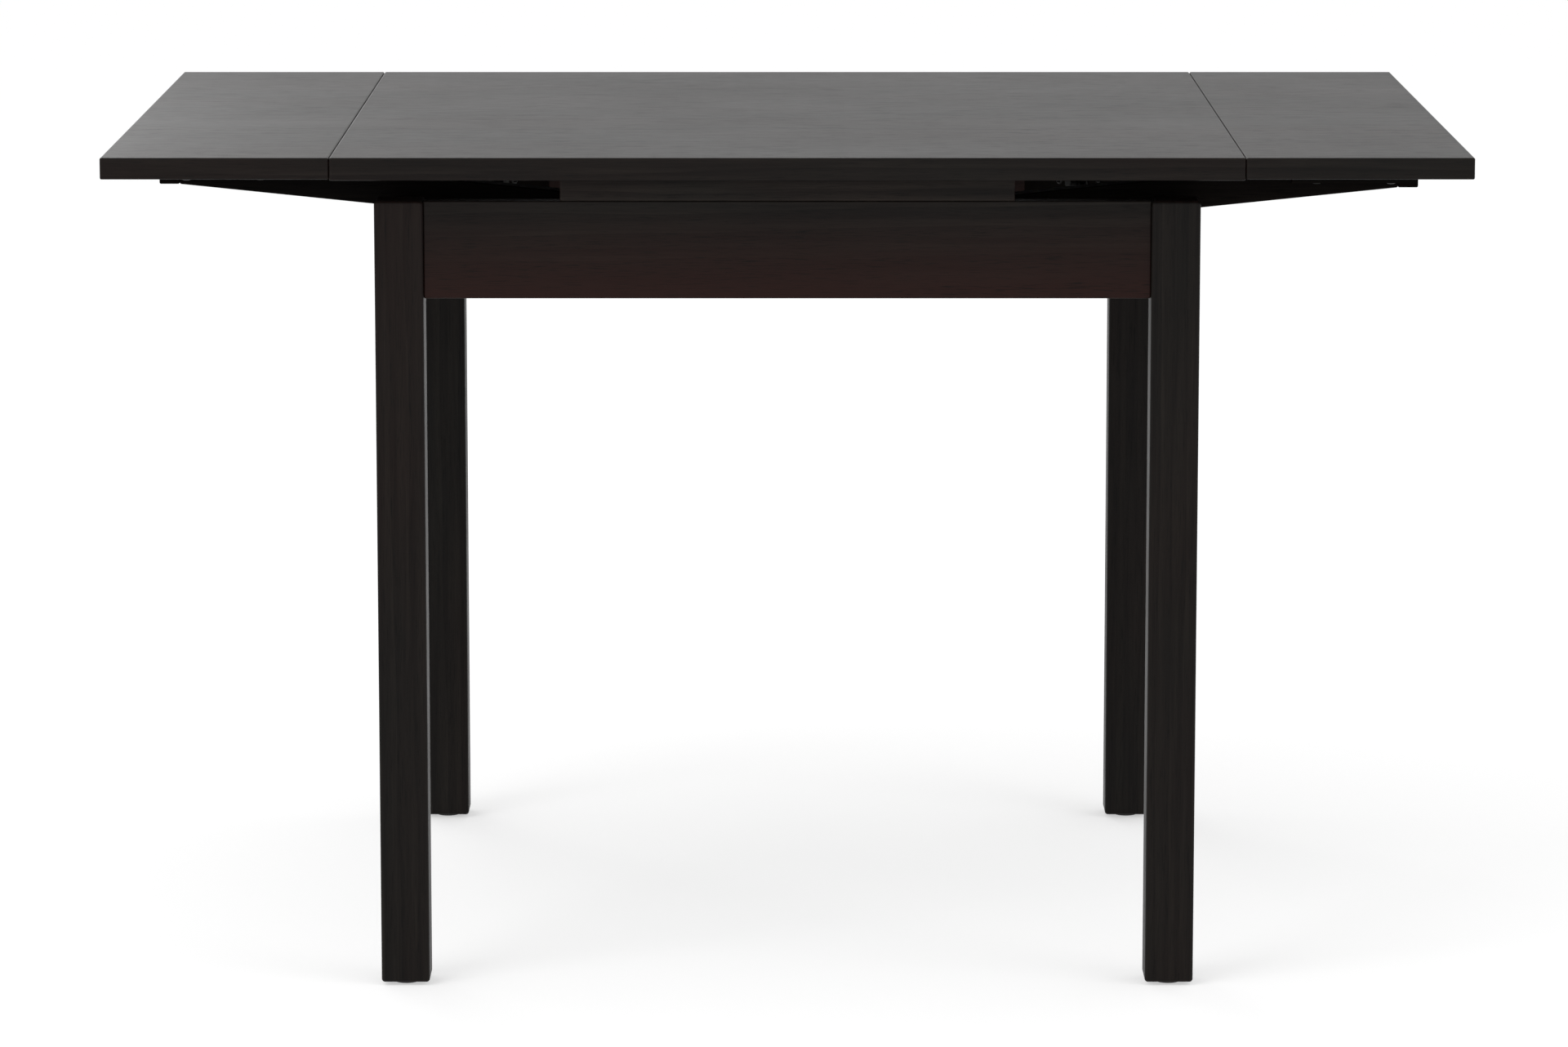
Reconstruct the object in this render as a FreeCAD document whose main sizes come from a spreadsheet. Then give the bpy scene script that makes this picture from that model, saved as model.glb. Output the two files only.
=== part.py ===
import FreeCAD, Part
import os
import Sketcher

# Extending dining table, millimetres. X runs along the table, -Y is the front, Z is up.
# The origin is on the floor under the middle of the top.
# Each end has a leaf that lies on two tapered lopers. The lopers slide down a slope into the frame.

SIZES = [
    ("table_height", 745, "floor to the upper face of the top"),
    ("top_length", 800, "length of the fixed top"),
    ("top_depth", 800, "front edge to back edge"),
    ("top_thickness", 20, "thickness of the fixed top"),
    ("leaf_length", 199.5, "length that each leaf adds"),
    ("leaf_thickness", 19, "thickness of a leaf"),
    ("seam_gap", 0.5, "gap between the top and a leaf"),
    ("edge_round", 1.5, "rounding of the top and the leaves"),
    ("pocket_height", 20.5, "height of the slots that store the leaves"),
    ("pocket_end_gap", 1, "room at the end of a stored leaf"),
    ("leg_width", 43, "side of the square leg"),
    ("leg_inset_x", 37.5, "end of the top to the leg"),
    ("leg_inset_y", 19, "front of the top to the leg"),
    ("leg_round", 3, "rounding of the legs"),
    ("glide_height", 3, "thickness of a foot glide"),
    ("glide_radius", 13, "radius of a foot glide where it meets the leg"),
    ("glide_taper", 2, "how far a foot glide draws in towards the floor"),
    ("apron_height", 86, "height of the front and back aprons"),
    ("apron_thickness", 20, "thickness of aprons and rails"),
    ("apron_inset", 4, "apron set back from the face of the legs"),
    ("board_round", 1.5, "rounding of aprons, rails and lopers"),
    ("block_height", 44, "height of a corner block"),
    ("block_lift", 5, "corner block above the lower edge of the apron"),
    ("block_reach", 84, "length of a corner block along each apron"),
    ("bolt_radius", 4, "radius of a corner bolt"),
    ("bolt_bite", 22, "depth of a corner bolt in its leg"),
    ("bolt_tail", 16, "corner bolt past the face of its block"),
    ("nut_radius", 8, "radius across the corners of a corner nut"),
    ("nut_height", 7, "thickness of a corner nut"),
    ("loper_width", 24, "width of a loper"),
    ("loper_inset", 13, "inner face of the legs to the right pair of lopers"),
    ("loper_step", 28, "how far the left pair lies inside the right pair"),
    ("loper_setback", 42, "end of a leaf to the end of its tie rail"),
    ("loper_tip", 15, "depth of a loper at its tip"),
    ("loper_tail", 90, "loper past the inner face of its guide rail"),
    ("stored_gap", 5, "pushed-in loper to the far guide rail"),
    ("slide_gap", 0.3, "running clearance round a loper"),
    ("guide_wall", 14, "guide rail under its windows"),
    ("tie_thickness", 18, "thickness of the rail that ties two lopers"),
    ("tie_height", 15, "height of the rail that ties two lopers"),
    ("cleat_width", 12, "width of the cleats that keep a leaf on its lopers"),
    ("cleat_height", 10, "depth of those cleats"),
    ("cleat_inset", 45, "cleat set back from each end of its leaf"),
    ("pin_radius", 4, "radius of a stop pin"),
    ("pin_stand", 3, "stop pin past each side of its loper"),
    ("screw_radius", 2.5, "radius of a wood screw"),
    ("screw_bite", 28, "depth of a wood screw in an edge"),
    ("top_bite", 12, "depth of a wood screw in the top"),
    ("head_sink", 3, "screw head below the surface"),
    ("screw_inset", 60, "screw to the end of the centre board"),
]

SIDES = {"left": -1, "right": 1}
ENDS = {"front": -1, "back": 1}

doc = FreeCAD.newDocument("ExtendingTable")
sheet = doc.addObject("Spreadsheet::Sheet", "Sizes")
for row, (alias, millimetres, note) in enumerate(SIZES, start=1):
    sheet.set(f"A{row}", note)
    sheet.set(f"B{row}", str(millimetres))
    sheet.setAlias(f"B{row}", alias)
doc.recompute()

nodes = []


def size(alias):
    return f"Sizes.{alias}"


def low(sign, outer, thickness):
    """Lowest coordinate of a piece whose outer face is at sign * outer."""
    if sign > 0:
        return f"({outer}) - ({thickness})"
    return f"-({outer})"


def keep(obj, label):
    obj.Label = label
    nodes.append(obj)
    return obj


def place(obj, x="0", y="0", z="0"):
    obj.setExpression("Placement.Base.x", x)
    obj.setExpression("Placement.Base.y", y)
    obj.setExpression("Placement.Base.z", z)
    return obj


def box(name, x, y, z, length, width, height):
    obj = doc.addObject("Part::Box", name)
    obj.setExpression("Length", length)
    obj.setExpression("Width", width)
    obj.setExpression("Height", height)
    return place(obj, x, y, z)


def cylinder(name, radius, height, x, y, z, axis):
    obj = doc.addObject("Part::Cylinder", name)
    obj.setExpression("Radius", radius)
    obj.setExpression("Height", height)
    up = FreeCAD.Vector(0, 0, 1)
    obj.Placement = FreeCAD.Placement(FreeCAD.Vector(), FreeCAD.Rotation(up, FreeCAD.Vector(*axis)))
    return place(obj, x, y, z)


def prism(name, plane, corners, thickness, both_ways=False, rounding=None):
    """A straight-sided outline on an origin plane, padded to a thickness and rounded on every edge.

    The outline starts from any points, and the sketch then moves them to the corners.
    """
    body = doc.addObject("PartDesign::Body", name)
    sketch = body.newObject("Sketcher::SketchObject", name + "_outline")
    support = [f for f in body.Origin.OriginFeatures if f.Role == plane][0]
    sketch.AttachmentSupport = (support, [""])
    sketch.MapMode = "FlatFace"
    count = len(corners)
    points = [FreeCAD.Vector(i, i * i, 0) for i in range(count)]
    for i in range(count):
        sketch.addGeometry(Part.LineSegment(points[i], points[(i + 1) % count]), False)
    for i in range(count):
        sketch.addConstraint(Sketcher.Constraint("Coincident", i, 2, (i + 1) % count, 1))
    for i, (u, v) in enumerate(corners):
        across = sketch.addConstraint(Sketcher.Constraint("DistanceX", -1, 1, i, 1, points[i].x))
        sketch.setExpression(f"Constraints[{across}]", u)
        along = sketch.addConstraint(Sketcher.Constraint("DistanceY", -1, 1, i, 1, points[i].y))
        sketch.setExpression(f"Constraints[{along}]", v)
    pad = body.newObject("PartDesign::Pad", name + "_pad")
    pad.Profile = sketch
    pad.SideType = "Symmetric" if both_ways else "One side"
    pad.setExpression("Length", thickness)
    if rounding:
        doc.recompute()
        fillet = body.newObject("PartDesign::Fillet", name + "_rounding")
        fillet.Base = (pad, [f"Edge{i + 1}" for i in range(len(pad.Shape.Edges))])
        fillet.setExpression("Radius", rounding)
    return body


def board(name, x, y, z, length, width, height, rounding):
    """A rectangular board with every edge rounded."""
    corners = [("0", "0"), (length, "0"), (length, width), ("0", width)]
    return place(prism(name, "XY_Plane", corners, height, rounding=rounding), x, y, z)


def group(name, pieces):
    obj = doc.addObject("Part::Compound", name)
    obj.Links = pieces
    return obj


# Levels
top_under = f"({size('table_height')} - {size('top_thickness')})"
leaf_under = f"({size('table_height')} - {size('leaf_thickness')})"
frame_top = f"({top_under} - {size('pocket_height')})"
apron_under = f"({frame_top} - {size('apron_height')})"

# Plan of the frame, as distances from the middle
half_length = f"({size('top_length')} / 2)"
half_depth = f"({size('top_depth')} / 2)"
leg_out_x = f"({half_length} - {size('leg_inset_x')})"
leg_in_x = f"({leg_out_x} - {size('leg_width')})"
leg_out_y = f"({half_depth} - {size('leg_inset_y')})"
leg_in_y = f"({leg_out_y} - {size('leg_width')})"
rail_out_x = f"({leg_out_x} - {size('apron_inset')})"
rail_in_x = f"({rail_out_x} - {size('apron_thickness')})"
apron_out_y = f"({leg_out_y} - {size('apron_inset')})"
apron_in_y = f"({apron_out_y} - {size('apron_thickness')})"
centre_half = f"({half_length} - {size('leaf_length')} - {size('pocket_end_gap')})"

# A loper travels the length of its leaf and drops by the height of the leaf's slot.
travel = size("leaf_length")
slope = f"({size('pocket_height')} / {travel})"
leaf_in_x = f"({half_length} + {size('seam_gap')})"
leaf_out_x = f"({leaf_in_x} + {size('leaf_length')})"
tie_out_x = f"({leaf_out_x} - {size('loper_setback')})"
tip_x = f"({tie_out_x} - {size('tie_thickness')})"
guide_in_x = f"(({travel} + {size('loper_tail')} + {size('stored_gap')}) / 2)"
guide_out_x = f"({guide_in_x} + {size('apron_thickness')})"
loper_in_x = f"({guide_in_x} - {size('loper_tail')})"
loper_top = f"({leaf_under} - {size('slide_gap')})"
pad_in_x = f"({centre_half} + ({leaf_under} - {frame_top}) / {slope})"


def upper_line(x):
    """Height of a loper's sloping upper edge, just below the corner of the centre board."""
    return f"({frame_top} - {size('slide_gap')} - {slope} * ({centre_half} - ({x})))"


def lower_line(x):
    """Height of a loper's sloping lower edge."""
    return f"({loper_top} - {size('loper_tip')} - {slope} * ({tip_x} - ({x})))"


def loper_y(side):
    right = f"({leg_in_y} - {size('loper_inset')} - {size('loper_width')} / 2)"
    if side == "right":
        return right
    return f"({right} - {size('loper_step')})"


def make_top():
    top = board("Top", f"-{half_length}", f"-{half_depth}", top_under, size("top_length"),
                size("top_depth"), size("top_thickness"), size("edge_round"))
    keep(top, "table_top")
    centre = board("Centre", f"-{centre_half}", f"-{apron_out_y}", frame_top, f"2 * {centre_half}",
                   f"2 * {apron_out_y}", size("pocket_height"), size("board_round"))
    keep(centre, "centre_board")


def make_legs():
    leg_height = f"{frame_top} - {size('glide_height')}"
    for end, sy in ENDS.items():
        for side, sx in SIDES.items():
            leg = board(f"Leg_{end}_{side}", low(sx, leg_out_x, size("leg_width")),
                        low(sy, leg_out_y, size("leg_width")), size("glide_height"),
                        size("leg_width"), size("leg_width"), leg_height, size("leg_round"))
            keep(leg, f"{end}_{side}_leg")
            glide = doc.addObject("Part::Cone", f"Glide_{end}_{side}")
            glide.setExpression("Radius1", f"{size('glide_radius')} - {size('glide_taper')}")
            glide.setExpression("Radius2", size("glide_radius"))
            glide.setExpression("Height", size("glide_height"))
            place(glide, f"{sx} * ({leg_out_x} - {size('leg_width')} / 2)",
                  f"{sy} * ({leg_out_y} - {size('leg_width')} / 2)")
            keep(glide, f"{end}_{side}_glide")


def make_aprons():
    for end, sy in ENDS.items():
        apron = board(f"Apron_{end}", f"-{leg_in_x}", low(sy, apron_out_y, size("apron_thickness")),
                      apron_under, f"2 * {leg_in_x}", size("apron_thickness"),
                      size("apron_height"), size("board_round"))
        keep(apron, f"{end}_apron")
    rail_height = f"{lower_line(rail_in_x)} - {size('slide_gap')} - {apron_under}"
    for side, sx in SIDES.items():
        rail = board(f"Rail_{side}", low(sx, rail_out_x, size("apron_thickness")), f"-{leg_in_y}",
                     apron_under, size("apron_thickness"), f"2 * {leg_in_y}", rail_height,
                     size("board_round"))
        keep(rail, f"{side}_end_rail")


def make_corners():
    """A block in each corner of the frame, and the bolt that draws the leg against it."""
    bolts = []
    nuts = []
    block_z = f"{apron_under} + {size('block_lift')}"
    bolt_z = f"{block_z} + {size('block_height')} / 2"
    face = f"(({leg_in_x} - {rail_in_x} + {size('block_reach')}) / 2)"
    bolt_length = f"({size('bolt_bite')} + {size('bolt_tail')} + {face} * sqrt(2))"
    for end, sy in ENDS.items():
        for side, sx in SIDES.items():
            outline = [
                (rail_in_x, f"{leg_in_y} - {size('block_reach')}"),
                (rail_in_x, leg_in_y),
                (leg_in_x, leg_in_y),
                (leg_in_x, apron_in_y),
                (f"{leg_in_x} - {size('block_reach')}", apron_in_y),
            ]
            outline = [(f"{sx} * ({u})", f"{sy} * ({v})") for u, v in outline]
            block = prism(f"Block_{end}_{side}", "XY_Plane", outline, size("block_height"))
            keep(place(block, z=block_z), f"{end}_{side}_corner_block")
            inward = (-sx, -sy, 0)
            reach = f"{size('bolt_bite')} / sqrt(2)"
            bolts.append(cylinder(f"Bolt_{end}_{side}", size("bolt_radius"), bolt_length,
                                  f"{sx} * ({leg_in_x} + {reach})", f"{sy} * ({leg_in_y} + {reach})",
                                  bolt_z, inward))
            nut = doc.addObject("Part::Prism", f"Nut_{end}_{side}")
            nut.Polygon = 6
            nut.setExpression("Circumradius", size("nut_radius"))
            nut.setExpression("Height", size("nut_height"))
            turn = FreeCAD.Rotation(FreeCAD.Vector(0, 0, 1), FreeCAD.Vector(*inward))
            nut.Placement = FreeCAD.Placement(FreeCAD.Vector(), turn)
            place(nut, f"{sx} * ({leg_in_x} - {face})", f"{sy} * ({leg_in_y} - {face})", bolt_z)
            nuts.append(nut)
    keep(group("Bolts", bolts), "corner_bolts")
    keep(group("Nuts", nuts), "corner_nuts")


def make_guides():
    """Cross rails under the centre board, each with two sloping windows for its lopers."""
    guide_z = f"({lower_line(guide_in_x)} - {size('guide_wall')})"
    past = size("apron_thickness")
    for side, sx in SIDES.items():
        rail = box(f"Guide_{side}_blank", low(sx, guide_out_x, size("apron_thickness")), f"-{apron_in_y}",
                   guide_z, size("apron_thickness"), f"2 * {apron_in_y}", f"{frame_top} - {guide_z}")
        for end, sy in ENDS.items():
            inner = f"({guide_in_x} - {past})"
            outer = f"({guide_out_x} + {past})"
            corners = [
                (inner, f"{lower_line(inner)} - {size('slide_gap')}"),
                (outer, f"{lower_line(outer)} - {size('slide_gap')}"),
                (outer, f"{upper_line(outer)} + {size('slide_gap')}"),
                (inner, f"{upper_line(inner)} + {size('slide_gap')}"),
            ]
            corners = [(f"{sx} * {u}", v) for u, v in corners]
            width = f"{size('loper_width')} + 2 * {size('slide_gap')}"
            window = prism(f"Window_{side}_{end}", "XZ_Plane", corners, width, both_ways=True)
            place(window, y=f"{sy} * {loper_y(side)}")
            cut = doc.addObject("Part::Cut", f"Guide_{side}_{end}")
            cut.Base = rail
            cut.Tool = window
            rail = cut
        keep(rail, f"{side}_guide_rail")


def make_frame_screws():
    centre = []
    top = []
    for end, sy in ENDS.items():
        for side, sx in SIDES.items():
            x = f"{sx} * ({centre_half} - {size('screw_inset')})"
            centre.append(cylinder(f"CentreScrew_{end}_{side}", size("screw_radius"),
                                   f"{size('screw_bite')} + {size('pocket_height')} - {size('head_sink')}", x,
                                   f"{sy} * ({apron_out_y} - {size('apron_thickness')} / 2)",
                                   f"{frame_top} - {size('screw_bite')}", (0, 0, 1)))
            top.append(cylinder(f"TopScrew_{end}_{side}", size("screw_radius"),
                                f"{size('top_bite')} + {size('pocket_height')} - {size('head_sink')}", x,
                                f"{sy} * ({apron_in_y} - {size('screw_inset')})",
                                f"{frame_top} + {size('head_sink')}", (0, 0, 1)))
    keep(group("CentreScrews", centre), "centre_board_screws")
    keep(group("TopScrews", top), "top_screws")


def make_leaf(side, sx):
    leaf = board(f"Leaf_{side}", low(sx, leaf_out_x, size("leaf_length")), f"-{half_depth}", leaf_under,
                 size("leaf_length"), size("top_depth"), size("leaf_thickness"), size("edge_round"))
    keep(leaf, f"{side}_leaf")
    cleat_length = f"({size('leaf_length')} - 2 * {size('cleat_inset')})"
    loper_side = f"({loper_y(side)} + {size('loper_width')} / 2)"
    cleat_out_y = f"({loper_side} + {size('slide_gap')} + {size('cleat_width')})"
    for end, sy in ENDS.items():
        cleat = box(f"Cleat_{side}_{end}", low(sx, f"{leaf_out_x} - {size('cleat_inset')}", cleat_length),
                    low(sy, cleat_out_y, size("cleat_width")), f"{leaf_under} - {size('cleat_height')}",
                    cleat_length, size("cleat_width"), size("cleat_height"))
        keep(cleat, f"{side}_leaf_{end}_cleat")


def make_lopers(side, sx):
    """Two tapered lopers, the rail that ties their tips, and the pins that stop them at the guide rail."""
    pins = []
    screws = []
    outline = [
        (loper_in_x, lower_line(loper_in_x)),
        (tip_x, lower_line(tip_x)),
        (tip_x, loper_top),
        (pad_in_x, loper_top),
        (loper_in_x, upper_line(loper_in_x)),
    ]
    outline = [(f"{sx} * {u}", v) for u, v in outline]
    tie_z = f"({loper_top} - ({size('loper_tip')} + {size('tie_height')}) / 2)"
    for end, sy in ENDS.items():
        loper = prism(f"Loper_{side}_{end}", "XZ_Plane", outline, size("loper_width"), both_ways=True,
                      rounding=size("board_round"))
        keep(place(loper, y=f"{sy} * {loper_y(side)}"), f"{side}_{end}_loper")
        pin_x = f"({guide_in_x} - {size('slide_gap')} - {size('pin_radius')})"
        pin_length = f"({size('loper_width')} + 2 * {size('pin_stand')})"
        pins.append(cylinder(f"Pin_{side}_{end}", size("pin_radius"), pin_length, f"{sx} * {pin_x}",
                             f"{sy} * {loper_y(side)} - {pin_length} / 2",
                             f"({lower_line(pin_x)} + {upper_line(pin_x)}) / 2", (0, 1, 0)))
        screws.append(cylinder(f"TieScrew_{side}_{end}", size("screw_radius"),
                               f"{size('tie_thickness')} - {size('head_sink')} + {size('screw_bite')}",
                               f"{sx} * ({tie_out_x} - {size('head_sink')})", f"{sy} * {loper_y(side)}",
                               f"{loper_top} - {size('loper_tip')} / 2", (-sx, 0, 0)))
    tie_half = f"({loper_y(side)} + {size('loper_width')} / 2)"
    tie = board(f"Tie_{side}", low(sx, tie_out_x, size("tie_thickness")), f"-{tie_half}", tie_z,
                size("tie_thickness"), f"2 * {tie_half}", size("tie_height"), size("board_round"))
    keep(tie, f"{side}_tie_rail")
    keep(group(f"Pins_{side}", pins), f"{side}_stop_pins")
    keep(group(f"TieScrews_{side}", screws), f"{side}_tie_screws")


def check_and_write():
    doc.recompute()
    for obj in doc.Objects:
        if "Invalid" in obj.State or "Error" in obj.State:
            raise RuntimeError(f"{obj.Name} failed: {obj.State}")
    for obj in nodes:
        if obj.Shape.isNull() or not obj.Shape.isValid() or not obj.Shape.Solids:
            raise RuntimeError(f"{obj.Label} has no valid solid")
    os.makedirs("parts", exist_ok=True)
    for obj in nodes:
        obj.Shape.exportStep(f"parts/{obj.Label}.step")
    print(len(nodes), "sub-parts written")


make_top()
make_legs()
make_aprons()
make_corners()
make_guides()
make_frame_screws()
for side_name, side_sign in SIDES.items():
    make_leaf(side_name, side_sign)
    make_lopers(side_name, side_sign)
check_and_write()
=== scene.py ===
import math

import bpy
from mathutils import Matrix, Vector


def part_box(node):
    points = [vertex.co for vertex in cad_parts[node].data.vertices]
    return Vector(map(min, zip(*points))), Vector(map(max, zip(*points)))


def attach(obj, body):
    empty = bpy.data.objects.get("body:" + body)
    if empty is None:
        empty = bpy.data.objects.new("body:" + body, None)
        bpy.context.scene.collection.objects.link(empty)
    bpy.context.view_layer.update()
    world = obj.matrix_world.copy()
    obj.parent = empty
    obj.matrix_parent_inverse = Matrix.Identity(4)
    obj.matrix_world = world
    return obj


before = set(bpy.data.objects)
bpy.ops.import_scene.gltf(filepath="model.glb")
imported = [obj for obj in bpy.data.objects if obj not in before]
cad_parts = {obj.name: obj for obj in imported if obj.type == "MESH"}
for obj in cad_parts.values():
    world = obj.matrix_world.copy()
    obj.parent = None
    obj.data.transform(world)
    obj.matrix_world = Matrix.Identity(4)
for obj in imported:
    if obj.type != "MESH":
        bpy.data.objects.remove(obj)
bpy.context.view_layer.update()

# Metres throughout. The table's length lies along X, its front faces -Y, and Z is up.
SIDES = {"left": -1, "right": 1}
ENDS = {"front": -1, "back": 1}
DOWN = (0, 0, -1)

# Camera: place, pitch below level in degrees, focal length and sensor in millimetres
CAMERA_AT = Vector((-0.0029, -5.9628, 1.3439))
CAMERA_PITCH = 9.41
CAMERA_LENS = 147.08
SENSOR_WIDTH = 36.0

# Light: each lamp's place and its power in watts, and the world's strength as a light
LAMPS = {
    "key": ((-2.6, -2.8, 4.0), 55.0),
    "fill": ((3.4, -2.2, 3.2), 22.0),
    "back": ((-2.2, 4.2, 2.2), 36.0),
}
LAMP_SIDE = 2.4
LAMP_TARGET = Vector((0, 0, 0.5))
AMBIENT = 0.8
WHITE = (1, 1, 1, 1)

# Floor: FLOOR_LIFT is the glow that brings it to white where it is seen as background
FLOOR_SIDE = 80.0
FLOOR_GREY = (0.6, 0.6, 0.6, 1)
FLOOR_ROUGHNESS = 0.9
FLOOR_SPECULAR = 0.1
FLOOR_LIFT = 0.5

# Tones of the woods, linear: dark, light, warm and worn. Bare wood is stained but not lacquered, and its
# tones are also darkened as painted shade.
STAIN = (
    (0.0020, 0.0018, 0.0016, 1),
    (0.0135, 0.0116, 0.0096, 1),
    (0.0180, 0.0060, 0.0045, 1),
    (0.0260, 0.0200, 0.0160, 1),
)
# Lopers, tie rails, cleats and plugs: a dark stain, made darker still as painted shade for where they sit in
# the shade under the leaves
LOPER_STAIN_AND_PAINTED_SHADE = (
    (0.0014, 0.0012, 0.0011, 1),
    (0.0085, 0.0070, 0.0058, 1),
    (0.0100, 0.0050, 0.0038, 1),
    (0.0150, 0.0110, 0.0085, 1),
)
# Corner blocks, guide rails and stop pins: stained, and darkened to near-black as painted shade for the
# shade inside the slots
BARE_STAIN_AND_PAINTED_SHADE = (
    (0.0018, 0.0014, 0.0012, 1),
    (0.0060, 0.0046, 0.0037, 1),
    (0.0072, 0.0040, 0.0030, 1),
    (0.0180, 0.0120, 0.0085, 1),
)

# The centre board has the same stain, lighter by this factor: painted light that offsets the shade the top's
# overhang casts on it
CENTRE_PAINTED_LIGHT_FACTOR = 1.9
CENTRE_PAINTED_LIGHT_TONES = [tuple(CENTRE_PAINTED_LIGHT_FACTOR * part for part in tone[:3]) + (1,) for tone in STAIN]

# Least and greatest roughness of the woods, and their specular levels
TOP_GLOSS = (0.39, 0.42)
FRAME_GLOSS = (0.42, 0.52)
BARE_GLOSS = (0.55, 0.68)
STAIN_SPECULAR = 0.12
BARE_SPECULAR = 0.04

# Wood figure. Scales are per metre, in pairs across and along the grain.
# A span is the pair of levels that become 0 and 1.
STREAK_SCALES = (150.0, 5.0)
STREAK_SPAN = (0.3, 0.7)
PORE_SCALES = (1300.0, 45.0)
PORE_SPAN = (0.46, 0.36)
CLOUD_SCALES = (9.0, 2.0)
CLOUD_SPAN = (0.4, 0.75)
SPECKLE_SCALE = 650.0
SPECKLE_SPAN = (0.4, 0.65)
SMUDGE_SCALE = 7.0
SMUDGE_SPAN = (0.3, 0.7)
END_FACING_SPAN = (0.6, 0.9)

# Growth rings: where the pith of the log lies, how close the rings are, and how long they are drawn
PITH = (0.07, 0.11, -0.55)
RING_SCALE = 34.0
RING_STRETCH = 0.1

# Wear on the arrises: how far it reaches, and the patches that break it up
WEAR_RADIUS = 0.003
WEAR_SAMPLES = 6
WEAR_SPAN = (0.995, 0.93)
PATCH_SCALE = 45.0
PATCH_SPAN = (0.42, 0.68)

# How strongly each feature of the wood shows in its colour, its roughness and its relief
RING_GRAIN = (1.0, 0.4)
RING_PORES = (0.3, 1.0)
CLOUD_SHARE = 0.3
PORE_SHARE = 0.8
END_SHARE = 0.75
WEAR_SHARE = 0.5
PORE_ROUGHNESS = 0.12
END_ROUGHNESS = 0.1
STREAK_RELIEF = 0.3
WOOD_BUMP = 0.2
WOOD_RELIEF = 0.0003

# Zinc plate: crystals and dull patches. Its tones are darkened to near-black as painted shade, for the
# fasteners seen in the shade of the slots
ZINC_DARK = (0.010, 0.010, 0.010, 1)
ZINC_LIGHT = (0.030, 0.030, 0.029, 1)
ZINC_CRYSTALS = 900.0
ZINC_PATCHES = 120.0
ZINC_PATCH_SPAN = (0.5, 0.75)
ZINC_GLOSS = (0.24, 0.46)
ZINC_BUMP = 0.08
ZINC_RELIEF = 0.0002

# Nylon: spark texture and scuffs
NYLON_DARK = (0.012, 0.012, 0.012, 1)
NYLON_LIGHT = (0.022, 0.022, 0.021, 1)
NYLON_SPARKS = 1600.0
NYLON_SCUFFS = 180.0
NYLON_SCUFF_SPAN = (0.4, 0.7)
NYLON_GLOSS = (0.4, 0.6)
NYLON_BUMP = 0.2
NYLON_RELIEF = 0.0002

# Screw heads. The dome slopes down from the recess to a shoulder and on to the edge.
SCREW_RADIUS = 0.0042
SCREW_DOME = 0.0008
SCREW_RECESS = 0.0011
SCREW_PROUD = 0.0004
SHOULDER_SHARE = 0.90
SHOULDER_RISE = 0.0003

# Cross recess: angles in degrees from the middle of an arm, and half the width of the arm.
# The middle and the arms end at a foot and a rim, as shares of the head's radius.
CROSS_ANGLES = (-15, -12, 12, 15, 30, 45, 60)
CROSS_ARM = 12
CROSS_ARMS = 4
CROSS_MIDDLE_FOOT = 0.30
CROSS_MIDDLE_RIM = 0.34
CROSS_ARM_FOOT = 0.62
CROSS_ARM_RIM = 0.66
CROSS_ARM_RISE = 0.0003
CROSS_FOOT_DROP = 0.0001
CROSS_RIM_DROP = 0.00015

# Wood plugs: the profile is in shares of the radius and of the height above the surface
PLUG_RADIUS = 0.0050
PLUG_PROUD = 0.0007
PLUG_PROFILE = ((0.35, 1.0), (0.75, 0.9), (0.94, 0.6), (1.0, 0.2), (1.0, -1.0))
PLUG_SIDES = 28

# Washers: the chamfer is a share of the height
WASHER_INNER = 0.0081
WASHER_OUTER = 0.0125
WASHER_HEIGHT = 0.0014
WASHER_CHAMFER = 0.25
WASHER_SIDES = 36

# Bolt threads: the ridge starts, crests and ends at these shares of the pitch
THREAD_PITCH = 0.0013
THREAD_DEPTH = 0.0005
THREAD_FOOT = 0.97
THREAD_RIDGE = (0.1, 0.5, 0.9)
THREAD_STEPS = 20

# Places of the fasteners
CLEAT_SCREW_SHARES = (0.2, 0.8)
BLOCK_SCREW_OFFSETS = (-0.026, 0.026)
TOP_SCREW_RADIUS = 0.0025
NUT_HEIGHT = 0.0072
BOLT_RADIUS = 0.004
BOLT_FREE_LENGTH = 0.0086

# Sockets of the mix node when it mixes colours
MIX_FACTOR = 0
MIX_FIRST = 6
MIX_SECOND = 7
MIX_RESULT = 2


def add(tree, kind, values=None, **settings):
    """A shader node with its settings, and with numbers or links on its inputs."""
    node = tree.nodes.new(kind)
    for key, value in settings.items():
        setattr(node, key, value)
    for key, value in (values or {}).items():
        if isinstance(value, bpy.types.NodeSocket):
            tree.links.new(value, node.inputs[key])
        else:
            node.inputs[key].default_value = value
    return node


def noise(tree, vector, scale=1.0, detail=5.0, roughness=0.55, distortion=0.0):
    """Noise from 0 to 1 at some coordinates."""
    node = add(tree, "ShaderNodeTexNoise", {
        "Vector": vector, "Scale": scale, "Detail": detail,
        "Roughness": roughness, "Distortion": distortion})
    return node.outputs["Fac"]


def ramp(tree, factor, low, high):
    """The factor stretched so that low gives 0 and high gives 1."""
    node = add(tree, "ShaderNodeMapRange", {"Value": factor, "From Min": low, "From Max": high})
    return node.outputs["Result"]


def spread(tree, factor, low, high):
    """The factor, 0 to 1, turned into a number between low and high."""
    node = add(tree, "ShaderNodeMapRange", {"Value": factor, "To Min": low, "To Max": high})
    return node.outputs["Result"]


def mix(tree, factor, first, second):
    """A colour between the first and the second."""
    values = {MIX_FACTOR: factor, MIX_FIRST: first, MIX_SECOND: second}
    return add(tree, "ShaderNodeMix", values, data_type="RGBA").outputs[MIX_RESULT]


def math_node(tree, operation, first, second=0.0):
    """The result of one operation on two numbers, or on the first alone."""
    node = add(tree, "ShaderNodeMath", {0: first, 1: second}, operation=operation)
    return node.outputs[0]


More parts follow.
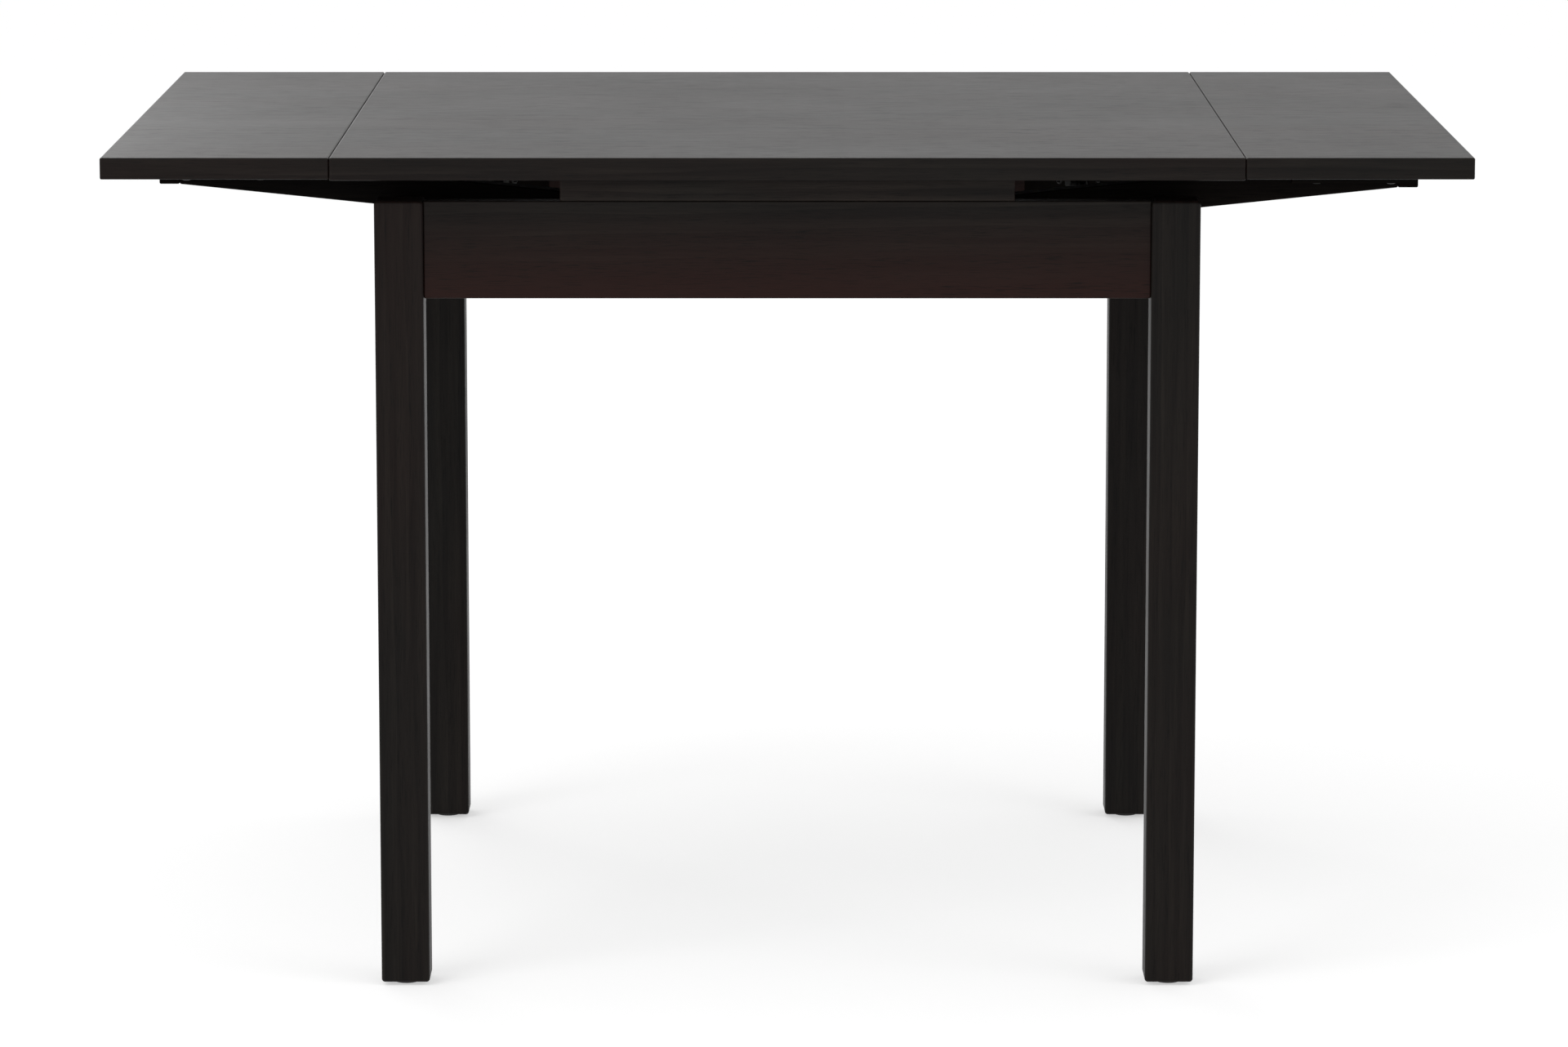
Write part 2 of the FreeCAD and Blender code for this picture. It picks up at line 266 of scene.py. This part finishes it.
def times(tree, first, second):
    """The product of two numbers."""
    return math_node(tree, "MULTIPLY", first, second)


def start_material(name):
    """A new material, with its node tree and its shader."""
    material = bpy.data.materials.new(name)
    material.use_nodes = True
    tree = material.node_tree
    return material, tree, tree.nodes["Principled BSDF"]


def set_relief(tree, shader, height, strength, distance):
    """Fine relief on a surface that is too small for the mesh."""
    bump = add(tree, "ShaderNodeBump", {"Height": height, "Strength": strength, "Distance": distance})
    tree.links.new(bump.outputs["Normal"], shader.inputs["Normal"])


def stretched(tree, coords, axis, scales):
    """Coordinates scaled across and along the grain."""
    across, along = scales
    scale = [across, across, across]
    scale["XYZ".index(axis)] = along
    node = add(tree, "ShaderNodeMapping", {"Vector": coords, "Scale": scale})
    return node.outputs["Vector"]


def facing_along(tree, normal, axis):
    """1 on the end grain and 0 on the sides of a board."""
    parts = add(tree, "ShaderNodeSeparateXYZ", {"Vector": normal})
    size = math_node(tree, "ABSOLUTE", parts.outputs["XYZ".index(axis)])
    return ramp(tree, size, *END_FACING_SPAN)


def edge_mask(tree, coords):
    """Light wear on the arrises, broken up by noise."""
    soft = add(tree, "ShaderNodeBevel", {"Radius": WEAR_RADIUS}, samples=WEAR_SAMPLES)
    true = add(tree, "ShaderNodeNewGeometry")
    normals = {0: soft.outputs["Normal"], 1: true.outputs["Normal"]}
    dot = add(tree, "ShaderNodeVectorMath", normals, operation="DOT_PRODUCT")
    edge = ramp(tree, dot.outputs["Value"], *WEAR_SPAN)
    patches = ramp(tree, noise(tree, coords, PATCH_SCALE), *PATCH_SPAN)
    return times(tree, edge, patches)


def growth_rings(tree, coords, axis):
    """Rings round a pith that lies beside the board, drawn out and wavering along the grain."""
    scale = [1.0, 1.0, 1.0]
    scale["XYZ".index(axis)] = RING_STRETCH
    log = add(tree, "ShaderNodeMapping", {"Vector": coords, "Location": PITH, "Scale": scale})
    values = {
        "Vector": log.outputs["Vector"], "Scale": RING_SCALE, "Distortion": 7.0,
        "Detail": 3.0, "Detail Scale": 0.35, "Detail Roughness": 0.6}
    rings = add(tree, "ShaderNodeTexWave", values,
                wave_type="RINGS", rings_direction=axis, wave_profile="SAW")
    return rings.outputs["Fac"]


def wood(name, axis, tones, gloss, specular, warm_band=None):
    """Stained wood with its grain along an axis. tones are dark, light, warm and worn.

    warm_band is the pair of heights between which the warm tone comes up, from the upper to the lower.
    """
    dark, light, warm, worn = tones
    material, tree, shader = start_material(name)
    source = add(tree, "ShaderNodeTexCoord")
    coords = source.outputs["Object"]
    growth = growth_rings(tree, coords, axis)
    along_streaks = stretched(tree, coords, axis, STREAK_SCALES)
    streaks = noise(tree, along_streaks, detail=6.0, roughness=0.6, distortion=0.4)
    pores = noise(tree, stretched(tree, coords, axis, PORE_SCALES), detail=3.0, roughness=0.5)
    clouds = noise(tree, stretched(tree, coords, axis, CLOUD_SCALES), detail=3.0, roughness=0.5)
    speckle = noise(tree, coords, SPECKLE_SCALE, detail=4.0, roughness=0.65)
    ends = facing_along(tree, source.outputs["Normal"], axis)

    grain = times(tree, ramp(tree, streaks, *STREAK_SPAN), spread(tree, growth, *RING_GRAIN))
    colour = mix(tree, grain, dark, light)
    warmth = times(tree, ramp(tree, clouds, *CLOUD_SPAN), CLOUD_SHARE)
    if warm_band:
        height = add(tree, "ShaderNodeSeparateXYZ", {"Vector": coords}).outputs["Z"]
        warmth = math_node(tree, "MAXIMUM", warmth, ramp(tree, height, *warm_band))
    colour = mix(tree, warmth, colour, warm)
    open_pores = times(tree, ramp(tree, pores, *PORE_SPAN), spread(tree, growth, *RING_PORES))
    colour = mix(tree, times(tree, open_pores, PORE_SHARE), colour, dark)
    end_colour = mix(tree, ramp(tree, speckle, *SPECKLE_SPAN), dark, warm)
    colour = mix(tree, times(tree, ends, END_SHARE), colour, end_colour)
    colour = mix(tree, times(tree, edge_mask(tree, coords), WEAR_SHARE), colour, worn)
    tree.links.new(colour, shader.inputs["Base Color"])

    smudges = ramp(tree, noise(tree, coords, SMUDGE_SCALE, detail=4.0), *SMUDGE_SPAN)
    roughness = spread(tree, smudges, *gloss)
    roughness = math_node(tree, "ADD", roughness, times(tree, open_pores, PORE_ROUGHNESS))
    roughness = math_node(tree, "ADD", roughness, times(tree, ends, END_ROUGHNESS))
    tree.links.new(roughness, shader.inputs["Roughness"])
    relief = math_node(tree, "SUBTRACT", times(tree, streaks, STREAK_RELIEF), open_pores)
    set_relief(tree, shader, relief, WOOD_BUMP, WOOD_RELIEF)
    shader.inputs["Specular IOR Level"].default_value = specular
    return material


def zinc_steel():
    """Zinc plate with a fine crystal pattern, dulled in patches, and darkened to near-black as painted
    shade.
    """
    material, tree, shader = start_material("zinc_steel")
    coords = add(tree, "ShaderNodeTexCoord").outputs["Object"]
    crystals = add(tree, "ShaderNodeTexVoronoi", {"Vector": coords, "Scale": ZINC_CRYSTALS})
    dull = noise(tree, coords, ZINC_PATCHES)
    colour = mix(tree, crystals.outputs["Color"], ZINC_DARK, ZINC_LIGHT)
    colour = mix(tree, ramp(tree, dull, *ZINC_PATCH_SPAN), colour, ZINC_DARK)
    tree.links.new(colour, shader.inputs["Base Color"])
    tree.links.new(spread(tree, dull, *ZINC_GLOSS), shader.inputs["Roughness"])
    set_relief(tree, shader, dull, ZINC_BUMP, ZINC_RELIEF)
    shader.inputs["Metallic"].default_value = 1.0
    return material


def glide_nylon():
    """Moulded nylon with a fine spark texture and light scuffs."""
    material, tree, shader = start_material("glide_nylon")
    coords = add(tree, "ShaderNodeTexCoord").outputs["Object"]
    sparks = noise(tree, coords, NYLON_SPARKS, detail=3.0)
    scuffs = noise(tree, coords, NYLON_SCUFFS)
    colour = mix(tree, ramp(tree, scuffs, *NYLON_SCUFF_SPAN), NYLON_DARK, NYLON_LIGHT)
    tree.links.new(colour, shader.inputs["Base Color"])
    tree.links.new(spread(tree, scuffs, *NYLON_GLOSS), shader.inputs["Roughness"])
    set_relief(tree, shader, sparks, NYLON_BUMP, NYLON_RELIEF)
    return material


top_veneer = wood("top_veneer", "X", STAIN, TOP_GLOSS, STAIN_SPECULAR)
frame_wood = {axis: wood(f"frame_wood_{axis.lower()}", axis, STAIN, FRAME_GLOSS, STAIN_SPECULAR)
              for axis in "YZ"}
# Painted light: the centre board's wood is the stain made lighter, against the shade under the top's
# overhang
centre_wood_painted_light = wood("centre_wood_painted_light", "X", CENTRE_PAINTED_LIGHT_TONES, FRAME_GLOSS, STAIN_SPECULAR)
# Partly painted shade: the lopers' stain is darkened for the shade under the leaves
loper_wood_painted_shade = {axis: wood(f"loper_wood_painted_shade_{axis.lower()}", axis, LOPER_STAIN_AND_PAINTED_SHADE, BARE_GLOSS, BARE_SPECULAR)
              for axis in "XY"}
# Partly painted shade: the bare parts' stain is darkened for the shade inside the slots
bare_wood_painted_shade = {axis: wood(f"bare_wood_painted_shade_{axis.lower()}", axis, BARE_STAIN_AND_PAINTED_SHADE, BARE_GLOSS, BARE_SPECULAR)
             for axis in "XY"}
apron_low, apron_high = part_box("front_apron")
apron_wood = wood("apron_wood", "X", STAIN, FRAME_GLOSS, STAIN_SPECULAR,
                  warm_band=(apron_high.z, apron_low.z))
# Painted shade: the zinc's near-black tones keep the fasteners in the slots dark
steel = zinc_steel()
nylon = glide_nylon()


def finish_of(node):
    """The material of a node of the table, by its name."""
    if node == "table_top" or node.endswith("_leaf"):
        return top_veneer
    if node.endswith("_leg"):
        return frame_wood["Z"]
    if node.endswith("_end_rail"):
        return frame_wood["Y"]
    if node.endswith("_apron"):
        return apron_wood
    # The centre board gets its lightened stain, painted light against the shade under the top
    if node == "centre_board":
        return centre_wood_painted_light
    if node.endswith("_tie_rail"):
        return loper_wood_painted_shade["Y"]
    if node.endswith("_loper") or node.endswith("_cleat"):
        return loper_wood_painted_shade["X"]
    if node.endswith("_corner_block"):
        return bare_wood_painted_shade["X"]
    if node.endswith("_guide_rail") or node.endswith("_stop_pins"):
        return bare_wood_painted_shade["Y"]
    if node.endswith("_glide"):
        return nylon
    return steel


def dress_nodes():
    """A finish for every node of the table."""
    for name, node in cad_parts.items():
        material = finish_of(name)
        if not node.material_slots:
            node.data.materials.append(material)
        for slot in node.material_slots:
            slot.material = material


def piece(name, vertices, faces, material, body):
    """A new mesh that rides on a body of the table."""
    mesh = bpy.data.meshes.new(name)
    mesh.from_pydata([tuple(v) for v in vertices], [], faces)
    mesh.update()
    mesh.shade_smooth()
    obj = bpy.data.objects.new(name, mesh)
    bpy.context.scene.collection.objects.link(obj)
    mesh.materials.append(material)
    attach(obj, body)


def turned(at, facing, points):
    """Points given round +Z, turned to a facing direction and moved to a place."""
    turn = Vector((0, 0, 1)).rotation_difference(Vector(facing)).to_matrix()
    return [Vector(at) + turn @ Vector(p) for p in points]


def lathe(rings, angles, joined=False):
    """Points and faces of a closed shape made of rings of (radius, height) round +Z.

    A height is a number, or a list with one for every angle. The first and the last ring are capped,
    or joined to each other.
    """
    count = len(angles)
    points = []
    for radius, heights in rings:
        for i, angle in enumerate(angles):
            height = heights[i] if isinstance(heights, list) else heights
            points.append((radius * math.cos(angle), radius * math.sin(angle), height))
    starts = [count * r for r in range(len(rings))]
    strips = list(zip(starts, starts[1:]))
    if joined:
        strips.append((starts[-1], starts[0]))
    faces = []
    for inner, outer in strips:
        for i in range(count):
            j = (i + 1) % count
            faces.append((outer + i, outer + j, inner + j, inner + i))
    if not joined:
        faces.append(tuple(range(count)))
        faces.append(tuple(reversed(range(starts[-1], starts[-1] + count))))
    return points, faces


def even_angles(count):
    """Angles at equal steps round a circle."""
    return [2 * math.pi * i / count for i in range(count)]


def screw_head(name, at, facing, body):
    """A domed head with a cross recess, closed below."""
    quarter = 360 // CROSS_ARMS
    angles = [math.radians(quarter * arm + angle) for arm in range(CROSS_ARMS) for angle in CROSS_ANGLES]
    in_arm = [abs(angle) <= CROSS_ARM for angle in CROSS_ANGLES] * CROSS_ARMS
    top = SCREW_PROUD + SCREW_DOME
    floor = SCREW_PROUD + SCREW_DOME - SCREW_RECESS
    middle_rim = [floor if inside else top for inside in in_arm]
    arm_foot = [floor + CROSS_ARM_RISE if inside else top - CROSS_FOOT_DROP for inside in in_arm]
    rings = [
        (SCREW_RADIUS * CROSS_MIDDLE_FOOT, floor),
        (SCREW_RADIUS * CROSS_MIDDLE_RIM, middle_rim),
        (SCREW_RADIUS * CROSS_ARM_FOOT, arm_foot),
        (SCREW_RADIUS * CROSS_ARM_RIM, top - CROSS_RIM_DROP),
        (SCREW_RADIUS * SHOULDER_SHARE, SCREW_PROUD + SHOULDER_RISE),
        (SCREW_RADIUS, SCREW_PROUD),
        (SCREW_RADIUS, -SCREW_PROUD),
    ]
    points, faces = lathe(rings, angles)
    piece(name, turned(at, facing, points), faces, steel, body)


def wood_plug(name, at, facing, body):
    """A round plug, slightly domed, over a sunk screw."""
    rings = [(PLUG_RADIUS * reach, PLUG_PROUD * rise) for reach, rise in PLUG_PROFILE]
    points, faces = lathe(rings, even_angles(PLUG_SIDES))
    piece(name, turned(at, facing, points), faces, loper_wood_painted_shade["X"], body)


def washer(name, at, facing, body):
    """A flat ring round the foot of a nut."""
    chamfer = WASHER_HEIGHT * WASHER_CHAMFER
    rings = [
        (WASHER_INNER, 0.0),
        (WASHER_INNER, WASHER_HEIGHT),
        (WASHER_OUTER - chamfer, WASHER_HEIGHT),
        (WASHER_OUTER, WASHER_HEIGHT - chamfer),
        (WASHER_OUTER, 0.0),
    ]
    points, faces = lathe(rings, even_angles(WASHER_SIDES), joined=True)
    piece(name, turned(at, facing, points), faces, steel, body)


def thread(name, at, facing, radius, length, body):
    """A helical ridge round the free end of a bolt, running out at both ends."""
    total = int((length / THREAD_PITCH - 1) * THREAD_STEPS)
    foot = radius * THREAD_FOOT
    points = []
    faces = []
    for i in range(total + 1):
        turns = i / THREAD_STEPS
        angle = 2 * math.pi * turns
        fade = min(1.0, turns, (total - i) / THREAD_STEPS)
        crest = radius + THREAD_DEPTH * fade
        for reach, share in zip((foot, crest, foot), THREAD_RIDGE):
            height = THREAD_PITCH * (turns + share)
            points.append((reach * math.cos(angle), reach * math.sin(angle), height))
    for i in range(total):
        a, b = 3 * i, 3 * i + 3
        faces += [(a, b, b + 1, a + 1), (a + 1, b + 1, b + 2, a + 2), (a + 2, b + 2, b, a)]
    faces += [(0, 1, 2), (3 * total + 2, 3 * total + 1, 3 * total)]
    piece(name, turned(at, facing, points), faces, steel, body)


def middle(node):
    """The middle of a node's box."""
    low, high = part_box(node)
    return (low + high) / 2


def dress_lopers(side, sx):
    """Plugs over the screws that hold a tie rail to its two lopers."""
    low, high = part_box(f"{side}_tie_rail")
    face = high.x if sx > 0 else low.x
    for end in ENDS:
        loper = middle(f"{side}_{end}_loper")
        at = (face, loper.y, (low.z + high.z) / 2)
        wood_plug(f"{side}_{end}_tie_plug", at, (sx, 0, 0), f"{side}_lopers")


def dress_leaf(side):
    """Two screws up through each cleat into its leaf."""
    for end in ENDS:
        low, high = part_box(f"{side}_leaf_{end}_cleat")
        for i, share in enumerate(CLEAT_SCREW_SHARES):
            at = (low.x + share * (high.x - low.x), (low.y + high.y) / 2, low.z)
            screw_head(f"{side}_{end}_cleat_screw_{i + 1}", at, DOWN, f"{side}_leaf")


def seat_of_nut(sx, sy, level):
    """Where a corner bolt meets the slanting face of its block."""
    leg_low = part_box("back_right_leg")[0]
    rail_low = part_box("right_end_rail")[0]
    block_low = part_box("back_right_corner_block")[0]
    reach = leg_low.x - block_low.x
    face = (leg_low.x - rail_low.x + reach) / 2
    return Vector((sx * (leg_low.x - face), sy * (leg_low.y - face), level))


def dress_corners():
    """A washer under each corner nut, the bolt's thread past it, and two screws in the block's face."""
    for end, sy in ENDS.items():
        for side, sx in SIDES.items():
            corner = f"{end}_{side}"
            inward = Vector((-sx, -sy, 0)).normalized()
            along = Vector((sx, -sy, 0)).normalized()
            seat = seat_of_nut(sx, sy, middle(f"{corner}_corner_block").z)
            washer(f"{corner}_washer", seat, inward, "frame")
            nut_top = seat + inward * NUT_HEIGHT
            thread(f"{corner}_thread", nut_top, inward, BOLT_RADIUS, BOLT_FREE_LENGTH, "frame")
            for i, offset in enumerate(BLOCK_SCREW_OFFSETS):
                screw_head(f"{corner}_block_screw_{i + 1}", seat + along * offset, inward, "frame")


def dress_centre():
    """Heads, in the lower face of the centre board, of the screws that hold the top."""
    board_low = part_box("centre_board")[0]
    screws_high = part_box("top_screws")[1]
    for end, sy in ENDS.items():
        for side, sx in SIDES.items():
            x = sx * (screws_high.x - TOP_SCREW_RADIUS)
            y = sy * (screws_high.y - TOP_SCREW_RADIUS)
            screw_head(f"{end}_{side}_top_screw_head", (x, y, board_low.z), DOWN, "frame")


def seen_as_background(tree):
    """1 for the rays that show the background to the eye, in gloss or through glass too, and 0 for light."""
    path = add(tree, "ShaderNodeLightPath")
    shown = math_node(tree, "MAXIMUM", path.outputs["Is Camera Ray"], path.outputs["Is Glossy Ray"])
    return math_node(tree, "MAXIMUM", shown, path.outputs["Is Transmission Ray"])


def make_floor():
    """A pale floor that keeps the table's shadow."""
    half = FLOOR_SIDE / 2
    mesh = bpy.data.meshes.new("floor")
    corners = [(-half, -half, 0), (half, -half, 0), (half, half, 0), (-half, half, 0)]
    mesh.from_pydata(corners, [], [(0, 1, 2, 3)])
    floor = bpy.data.objects.new("floor", mesh)
    bpy.context.scene.collection.objects.link(floor)
    material, tree, shader = start_material("pale_floor")
    shader.inputs["Base Color"].default_value = FLOOR_GREY
    shader.inputs["Roughness"].default_value = FLOOR_ROUGHNESS
    shader.inputs["Specular IOR Level"].default_value = FLOOR_SPECULAR
    shader.inputs["Emission Color"].default_value = WHITE
    lift = times(tree, seen_as_background(tree), FLOOR_LIFT)
    tree.links.new(lift, shader.inputs["Emission Strength"])
    mesh.materials.append(material)


def make_world():
    """An even white world, at full strength only where it is seen as background."""
    world = bpy.data.worlds.new("studio")
    bpy.context.scene.world = world
    world.use_nodes = True
    tree = world.node_tree
    background = tree.nodes["Background"]
    background.inputs["Color"].default_value = WHITE
    strength = spread(tree, seen_as_background(tree), AMBIENT, 1.0)
    tree.links.new(strength, background.inputs["Strength"])


def make_lights():
    """Square lamps that point at the upper half of the table."""
    for name, (at, power) in LAMPS.items():
        lamp = bpy.data.lights.new(name, "AREA")
        lamp.size = LAMP_SIDE
        lamp.energy = power
        obj = bpy.data.objects.new(name, lamp)
        obj.location = at
        obj.rotation_euler = (LAMP_TARGET - Vector(at)).to_track_quat("-Z", "Y").to_euler()
        bpy.context.scene.collection.objects.link(obj)


def make_camera():
    """The photograph's view, level from side to side."""
    data = bpy.data.cameras.new("camera")
    data.lens = CAMERA_LENS
    data.sensor_width = SENSOR_WIDTH
    data.sensor_fit = "HORIZONTAL"
    camera = bpy.data.objects.new("camera", data)
    camera.location = CAMERA_AT
    camera.rotation_euler = (math.radians(90 - CAMERA_PITCH), 0, 0)
    bpy.context.scene.collection.objects.link(camera)
    bpy.context.scene.camera = camera


dress_nodes()
for side_name, side_sign in SIDES.items():
    dress_lopers(side_name, side_sign)
    dress_leaf(side_name)
dress_corners()
dress_centre()
make_floor()
make_world()
make_lights()
make_camera()
bpy.context.scene.view_settings.view_transform = "Standard"
